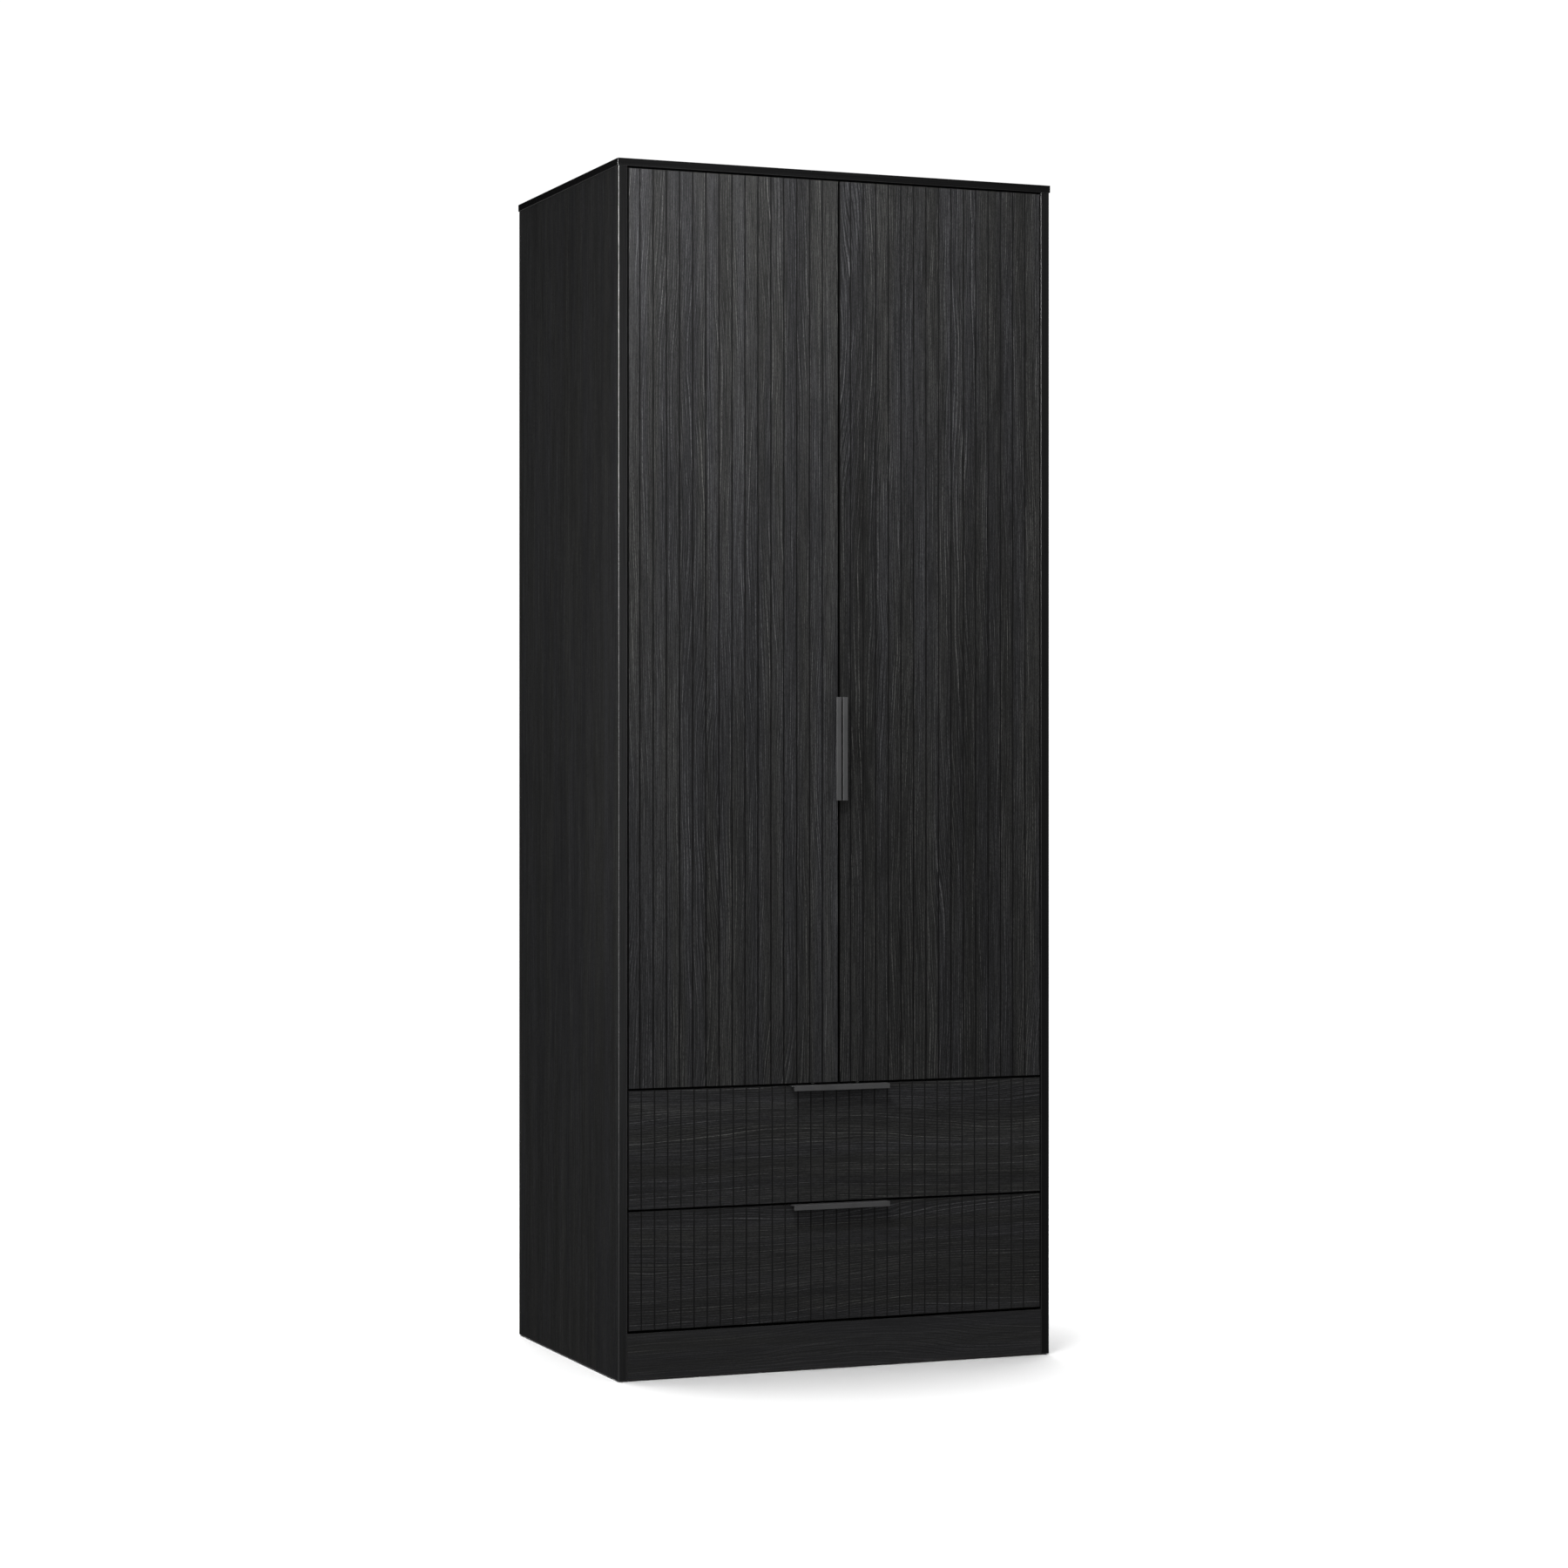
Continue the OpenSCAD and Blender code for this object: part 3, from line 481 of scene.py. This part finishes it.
def cut(piece, cutter_bm):
    """Takes the cutter's shapes out of the piece and applies the result."""
    bmesh.ops.recalc_face_normals(cutter_bm, faces=cutter_bm.faces[:])
    mesh = bpy.data.meshes.new("cutter")
    cutter_bm.to_mesh(mesh)
    cutter_bm.free()
    cutter = bpy.data.objects.new("cutter", mesh)
    bpy.context.scene.collection.objects.link(cutter)
    boolean = piece.modifiers.new("cut", "BOOLEAN")
    boolean.operation = "DIFFERENCE"
    boolean.solver = "EXACT"
    boolean.object = cutter
    bpy.context.view_layer.update()
    result = bpy.data.meshes.new_from_object(piece.evaluated_get(bpy.context.evaluated_depsgraph_get()))
    piece.modifiers.remove(boolean)
    reshaded = bmesh.new()
    reshaded.from_mesh(result)
    shade(reshaded)
    reshaded.to_mesh(result)
    reshaded.free()
    old = piece.data
    piece.data = result
    result.name = piece.name
    bpy.data.meshes.remove(old)
    bpy.data.objects.remove(cutter)
    bpy.data.meshes.remove(mesh)


def quarter_arc(radius, steps=4):
    """Points of a rounded corner, from (0, radius) to (radius, 0)."""
    angles = [math.pi / 2 * i / steps for i in range(steps + 1)]
    return [(radius - radius * math.cos(angle), radius - radius * math.sin(angle)) for angle in angles]


def flute_outline(x):
    """One flute at x: a V with softened lips and a narrow floor."""
    half = FLUTE_WIDTH / 2
    left = [(x - half - FLUTE_LIP, 0), (x - half, FLUTE_LIP / 2), (x - FLUTE_FLOOR_HALF, FLUTE_DEPTH)]
    return left + [(2 * x - px, py) for px, py in reversed(left)]


def fluted_profile(width, first, count):
    """A fluted board seen from above, from its left front corner, with its face at y = 0.

    Returns the outline's points, and the finish of the wall that follows each point."""
    arc = quarter_arc(EDGE_ROUND)
    stretches = [(arc, EDGE, WOOD)]
    stretches += [(flute_outline(first + i * FLUTE_PITCH), FLUTE, WOOD) for i in range(count)]
    stretches += [([(width - x, y) for x, y in reversed(arc)], EDGE, EDGE),
                  ([(width - x, BOARD - y) for x, y in arc], EDGE, WOOD),
                  ([(x, BOARD - y) for x, y in reversed(arc)], EDGE, EDGE)]
    points, finishes = [], []
    for stretch, within, after in stretches:
        points += stretch
        finishes += [within] * (len(stretch) - 1) + [after]
    return points, finishes


def fluted_mesh(low, high, first, count):
    """A fluted board between two corners, its ends rounded like its sides."""
    width = high[0] - low[0]
    points, finishes = fluted_profile(width, first, count)
    arc = quarter_arc(EDGE_ROUND)
    levels = [(low[2] + up, inset) for up, inset in arc]
    levels += [(high[2] - down, inset) for down, inset in reversed(arc)]
    bm = bmesh.new()
    rows = [[bm.verts.new((low[0] + min(max(x, inset), width - inset),
                           low[1] + min(max(y, inset), BOARD - inset), z)) for x, y in points]
            for z, inset in levels]
    for lower, upper in zip(rows, rows[1:]):
        tall = upper[0].co.z - lower[0].co.z > EDGE_ROUND
        for i, finish in enumerate(finishes):
            j = (i + 1) % len(points)
            wall = bm.faces.new((lower[i], lower[j], upper[j], upper[i]))
            wall.material_index = finish if tall else EDGE
    for cap in (rows[0], list(reversed(rows[-1]))):
        bm.faces.new(cap).material_index = EDGE
    bmesh.ops.remove_doubles(bm, verts=bm.verts[:], dist=1e-6)
    bmesh.ops.dissolve_degenerate(bm, dist=1e-7, edges=bm.edges[:])
    return bm


def rounded(outline, steps=4):
    """An outline of (point, radius) pairs with each corner rounded by an arc."""
    points = []
    for i, (corner, radius) in enumerate(outline):
        before = (Vector(outline[i - 1][0]) - Vector(corner)).normalized()
        after = (Vector(outline[(i + 1) % len(outline)][0]) - Vector(corner)).normalized()
        half = before.angle(after) / 2
        centre = Vector(corner) + (before + after).normalized() * radius / math.sin(half)
        start = Vector(corner) + before * radius / math.tan(half) - centre
        end = Vector(corner) + after * radius / math.tan(half) - centre
        for step in range(steps + 1):
            points.append(centre + start.slerp(end, step / steps).normalized() * radius)
    return points


# ---------------------------------------------------------------- pieces

# Radii of a pull's corners: under its lip, at the lip's tip and root, at the tail's root and tip, and
# at the outer corner behind
PULL_ROUNDS = (0.7 * MM, 0.6 * MM, 0.8 * MM, 0.3 * MM, 0.5 * MM, 1.2 * MM)


def pull_outline(front, back, tail):
    """A pull seen from its end: points of y, and depth from the board's edge."""
    heel, tip, root, tail_root, tail_tip, shoulder = PULL_ROUNDS
    nose, inside = front + PULL_NOSE, back - PULL_METAL
    return rounded([((front, 0), heel), ((front, PULL_LIP), tip), ((nose, PULL_LIP), tip),
                    ((nose, PULL_METAL), root), ((inside, PULL_METAL), tail_root),
                    ((inside, tail), tail_tip), ((back, tail), tail_tip), ((back, 0), shoulder)])


def edge_pull(node, body, length_axis, edge_side):
    """An edge pull: a lip in front, a web over the board's edge and a tail behind it.

    length_axis is 0 or 2. edge_side is +1 where the board's edge is at the box's high side."""
    low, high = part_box(node)
    across = 2 - length_axis
    edge = high[across] if edge_side > 0 else low[across]
    outline = pull_outline(low[1], high[1], high[across] - low[across])
    bm = bmesh.new()
    rings = []
    for end in (low[length_axis], high[length_axis]):
        ring = []
        for y, depth in outline:
            point = [0.0, y, 0.0]
            point[length_axis] = end
            point[across] = edge - edge_side * depth
            ring.append(bm.verts.new(point))
        rings.append(ring)
    count = len(outline)
    for i in range(count):
        j = (i + 1) % count
        bm.faces.new((rings[0][i], rings[0][j], rings[1][j], rings[1][i]))
    caps = [bm.faces.new(rings[0]), bm.faces.new(list(reversed(rings[1])))]
    rim = [edge for cap in caps for edge in cap.edges]
    bmesh.ops.bevel(bm, geom=rim, offset=PULL_END_ROUND, segments=2, profile=0.5, affect="EDGES")
    return place(make_object(node + "_bar", bm, [PULL_BLACK]), body, "dark_metal", node)


def pull_rebate(bm, node, length_axis, edge_side):
    """Adds to bm the slot that a pull's web takes out of the edge of its board."""
    low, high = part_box(node)
    across = 2 - length_axis
    box_low, box_high = list(low), list(high)
    box_low[1] -= REBATE_PAST
    box_high[1] += REBATE_PAST
    if edge_side > 0:
        box_low[across] = high[across] - PULL_METAL
        box_high[across] += CUT_PAST
    else:
        box_high[across] = low[across] + PULL_METAL
        box_low[across] -= CUT_PAST
    box_mesh(bm, box_low, box_high)


def door(side, material, edge_side):
    """A fluted door with its cup pockets and the rebate for its pull."""
    node = side + "_door"
    low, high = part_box(node)
    piece = make_object(node + "_leaf", fluted_mesh(low, high, DOOR_FLUTE_START, DOOR_FLUTES),
                        [material, TAPE_DOOR, FLUTE_DOOR])
    cutter = bmesh.new()
    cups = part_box(side + "_hinge_cups")
    cup_x = (cups[0][0] + cups[1][0]) / 2
    for z in hinge_heights(side):
        cylinder_mesh(cutter, (cup_x, high[1] - CUP_DEPTH, z), (0, 1, 0), CUP_RADIUS,
                      CUP_DEPTH + CUT_PAST, segments=64)
    pull_rebate(cutter, node + "_pull", 2, edge_side)
    cut(piece, cutter)
    return place(piece, node, "black_board", node)


def hinge_heights(side):
    """The heights of a door's hinges. The top and bottom ones are equally far from the middle one."""
    arms_low, arms_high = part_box(side + "_hinge_arms")
    middle = (arms_low[2] + arms_high[2]) / 2
    reach = (arms_high[2] - arms_low[2]) / 2 - ARM_HALF
    return [middle - reach, middle, middle + reach]


def drawer_front(level, material):
    """A fluted drawer front with the rebate for its pull."""
    node = level + "_drawer_front"
    low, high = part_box(node)
    piece = make_object(node + "_face", fluted_mesh(low, high, DRAWER_FLUTE_START, DRAWER_FLUTES),
                        [material, TAPE_FLAT, FLUTE_DRAWER])
    cutter = bmesh.new()
    pull_rebate(cutter, level + "_drawer_pull", 0, 1)
    cut(piece, cutter)
    return place(piece, level + "_drawer", "black_board", node)


def drawer_box(level):
    """The foiled sides and back of a drawer, and its hardboard base."""
    body = level + "_drawer"
    for part in ("left_side", "right_side", "back"):
        board(f"{body}_{part}", body, LINER, LINER, LINER, slot="liner_board", radius=LINER_ROUND)
    board(body + "_base", body, HARDBOARD_DARK, HARDBOARD_RAW, HARDBOARD_RAW, slot="hardboard",
          radius=SHEET_ROUND)


def wall_holes():
    """The two screw holes through the rear rail and the back panel."""
    bm = bmesh.new()
    low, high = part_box("wall_rail")
    for x in (-WALL_HOLE_SPACING / 2, WALL_HOLE_SPACING / 2):
        cylinder_mesh(bm, (x, low[1] - WALL_CUTTER_START, (low[2] + high[2]) / 2), (0, 1, 0),
                      WALL_HOLE_RADIUS, WALL_CUTTER_LENGTH, segments=24)
    return bm


def carcass():
    """The fixed boards, and the hardboard back: dark on its inner face and raw on its outer one."""
    board("left_side_panel", "carcass", WOOD_UP, TAPE_UP, HIGHLIGHT_TRIM)
    board("right_side_panel", "carcass", WOOD_UP, TAPE_UP, HIGHLIGHT_TRIM_MATT)
    board("top_panel", "carcass", WOOD_FLAT, TAPE_TOP, HIGHLIGHT_TRIM, radius=TOP_ROUND)
    for node in ("hanging_floor", "base_panel", "front_plinth", "rear_plinth", "front_top_rail",
                 "hat_shelf"):
        board(node, "carcass", WOOD_FLAT, TAPE_FLAT)
    board("wall_rail", "carcass", WOOD_FLAT, TAPE_FLAT, holes=wall_holes)
    low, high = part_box("back_panel")
    panel = make_object("back_panel_sheet", slab_mesh(low, high, SHEET_ROUND),
                        [HARDBOARD_DARK, HARDBOARD_RAW],
                        lambda face: 1 if face.normal[1] > 0.5 else 0)
    cut(panel, wall_holes())
    place(panel, "carcass", "hardboard", "back_panel")


# The CAD fittings that are kept, by finish
KEPT = {
    NICKEL: ["shelf_pegs", "left_hinge_arms", "right_hinge_arms", "hinge_plates", "left_hinge_cups",
             "right_hinge_cups"],
    CHROME: ["hanging_rail", "left_rail_socket", "right_rail_socket"],
    ZINC: ["rail_socket_screws", "hinge_plate_screws", "runner_screws", "left_hinge_pins",
           "right_hinge_pins", "left_door_screws", "right_door_screws", "upper_drawer_cams",
           "lower_drawer_cams", "upper_drawer_screws", "lower_drawer_screws"],
    PLASTIC_WHITE: ["floor_glides", "door_bumpers"],
    BEECH: ["carcass_dowels"],
    RUNNER_WHITE: ["upper_runners", "lower_runners", "upper_drawer_slides", "lower_drawer_slides"],
    NYLON: ["upper_front_rollers", "upper_rear_rollers", "lower_front_rollers", "lower_rear_rollers"],
}


def dress_fittings():
    """Gives each CAD fitting its finish, and softens its edges."""
    for material, nodes in KEPT.items():
        for node in nodes:
            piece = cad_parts[node]
            piece.data.materials.clear()
            piece.data.materials.append(material)
            weld = piece.modifiers.new("weld", "WELD")
            weld.merge_threshold = WELD_GAP
            bevel = piece.modifiers.new("soft_edges", "BEVEL")
            bevel.width = FITTING_ROUND
            bevel.segments = 2
            bevel.limit_method = "ANGLE"
            bevel.angle_limit = SHARP
            bevel.use_clamp_overlap = True


def build_wardrobe():
    """Every piece on its body, and the finishes of the fittings."""
    carcass()
    door("left", WOOD_LEFT_DOOR, 1)
    door("right", WOOD_RIGHT_DOOR, -1)
    edge_pull("left_door_pull", "left_door", 2, 1)
    edge_pull("right_door_pull", "right_door", 2, -1)
    for level, material in (("upper", WOOD_UPPER_FRONT), ("lower", WOOD_LOWER_FRONT)):
        drawer_front(level, material)
        edge_pull(level + "_drawer_pull", level + "_drawer", 0, 1)
        drawer_box(level)
    dress_fittings()


# ---------------------------------------------------------------- floor, light and camera

def floor_finish():
    """Pale floor, matt near the wardrobe and brightening into the white background further off."""
    graph = Graph("floor")
    clouds = graph.noise(graph.scaled_place((0.6, 0.6, 0.6)))
    low, high = FLOOR_TONES
    paint = graph.ramp(clouds, (0.3, low), (0.7, high))
    distance = graph.add("VectorMath", operation="LENGTH")
    graph.feed(distance.inputs[0], graph.object_place())
    far = graph.remap(distance.outputs["Value"], FLOOR_MATT, FLOOR_WHITE, smooth=True)
    graph.feed(graph.shader.inputs["Emission Strength"], far)
    return graph.finish(Base_Color=graph.tint(far, paint, (0, 0, 0, 1)), Roughness=0.95,
                        Specular_IOR_Level=0.0, Emission_Color=(WHITE, WHITE, WHITE, 1))


def make_floor():
    """A round floor that reaches far past the camera, left out of reflections and bounced light."""
    bm = bmesh.new()
    bmesh.ops.create_circle(bm, cap_ends=True, segments=64, radius=FLOOR_RADIUS)
    floor = make_object("floor", bm, [floor_finish()])
    floor.visible_glossy = False
    floor.visible_diffuse = False


def make_world():
    """White to the camera, and a dim even light on everything."""
    world = bpy.data.worlds.new("studio")
    bpy.context.scene.world = world
    world.use_nodes = True
    nodes, links = world.node_tree.nodes, world.node_tree.links
    nodes.clear()
    path = nodes.new("ShaderNodeLightPath")
    strength = nodes.new("ShaderNodeMapRange")
    strength.inputs["To Min"].default_value = AMBIENT
    strength.inputs["To Max"].default_value = WHITE
    white = nodes.new("ShaderNodeBackground")
    white.inputs["Color"].default_value = (1, 1, 1, 1)
    out = nodes.new("ShaderNodeOutputWorld")
    links.new(path.outputs["Is Camera Ray"], strength.inputs["Value"])
    links.new(strength.outputs[0], white.inputs["Strength"])
    links.new(white.outputs[0], out.inputs[0])


def area_light(name, place_at, look_at, size, power):
    """A rectangular light that the camera doesn't see."""
    lamp = bpy.data.lights.new(name, "AREA")
    lamp.shape = "RECTANGLE"
    lamp.size, lamp.size_y = size
    lamp.energy = power
    source = bpy.data.objects.new(name, lamp)
    source.location = place_at
    source.rotation_euler = (Vector(look_at) - Vector(place_at)).to_track_quat("-Z", "Y").to_euler()
    source.visible_camera = False
    bpy.context.scene.collection.objects.link(source)
    return source


def link_light(source, piece_name, state):
    """Lets a light reach only the named piece (INCLUDE), or everything else (EXCLUDE)."""
    receivers = bpy.data.collections.new(source.name + "_receivers")
    receivers.objects.link(bpy.data.objects[piece_name])
    receivers.collection_objects[0].light_linking.link_state = state
    source.light_linking.receiver_collection = receivers


def make_sun():
    """A soft light from above, mostly for the floor and its shadow."""
    overhead = bpy.data.lights.new("overhead", "SUN")
    overhead.energy = SUN_STRENGTH
    overhead.angle = SUN_WIDTH
    source = bpy.data.objects.new("overhead", overhead)
    source.rotation_euler = Vector(SUN_AIM).to_track_quat("-Z", "Y").to_euler()
    bpy.context.scene.collection.objects.link(source)


def make_lights():
    """A near key, a strip that shows only in the gloss, a fill for the side panel, and the sun."""
    make_world()
    key = area_light("key", place_at=(-0.64, -1.25, 2.36), look_at=(-0.1, -0.26, 1.6),
                     size=(0.6, 0.35), power=24)
    link_light(key, "left_side_panel_board", "EXCLUDE")
    strip = area_light("edge_strip", place_at=(-3.2, -1.4, 2.3), look_at=(-0.38, -0.26, 1.7),
                       size=(0.5, 1.4), power=470)
    strip.visible_diffuse = False
    fill = area_light("side_fill", place_at=(-0.75, -0.95, 1.15), look_at=(-0.38, 0.0, 1.0),
                      size=(0.2, 1.7), power=18.0)
    link_light(fill, "left_side_panel_board", "INCLUDE")
    make_sun()


def make_camera():
    """Level, at half the wardrobe's height, in front of it and to its left."""
    data = bpy.data.cameras.new("camera")
    data.sensor_width = SENSOR
    data.lens = LENS
    data.shift_y = SHIFT_UP
    camera = bpy.data.objects.new("camera", data)
    camera.location = CAMERA_PLACE
    camera.rotation_euler = (math.radians(90), 0, CAMERA_TURN)
    bpy.context.scene.collection.objects.link(camera)
    bpy.context.scene.camera = camera


build_wardrobe()
make_floor()
make_lights()
make_camera()
bpy.context.scene.view_settings.view_transform = "Standard"
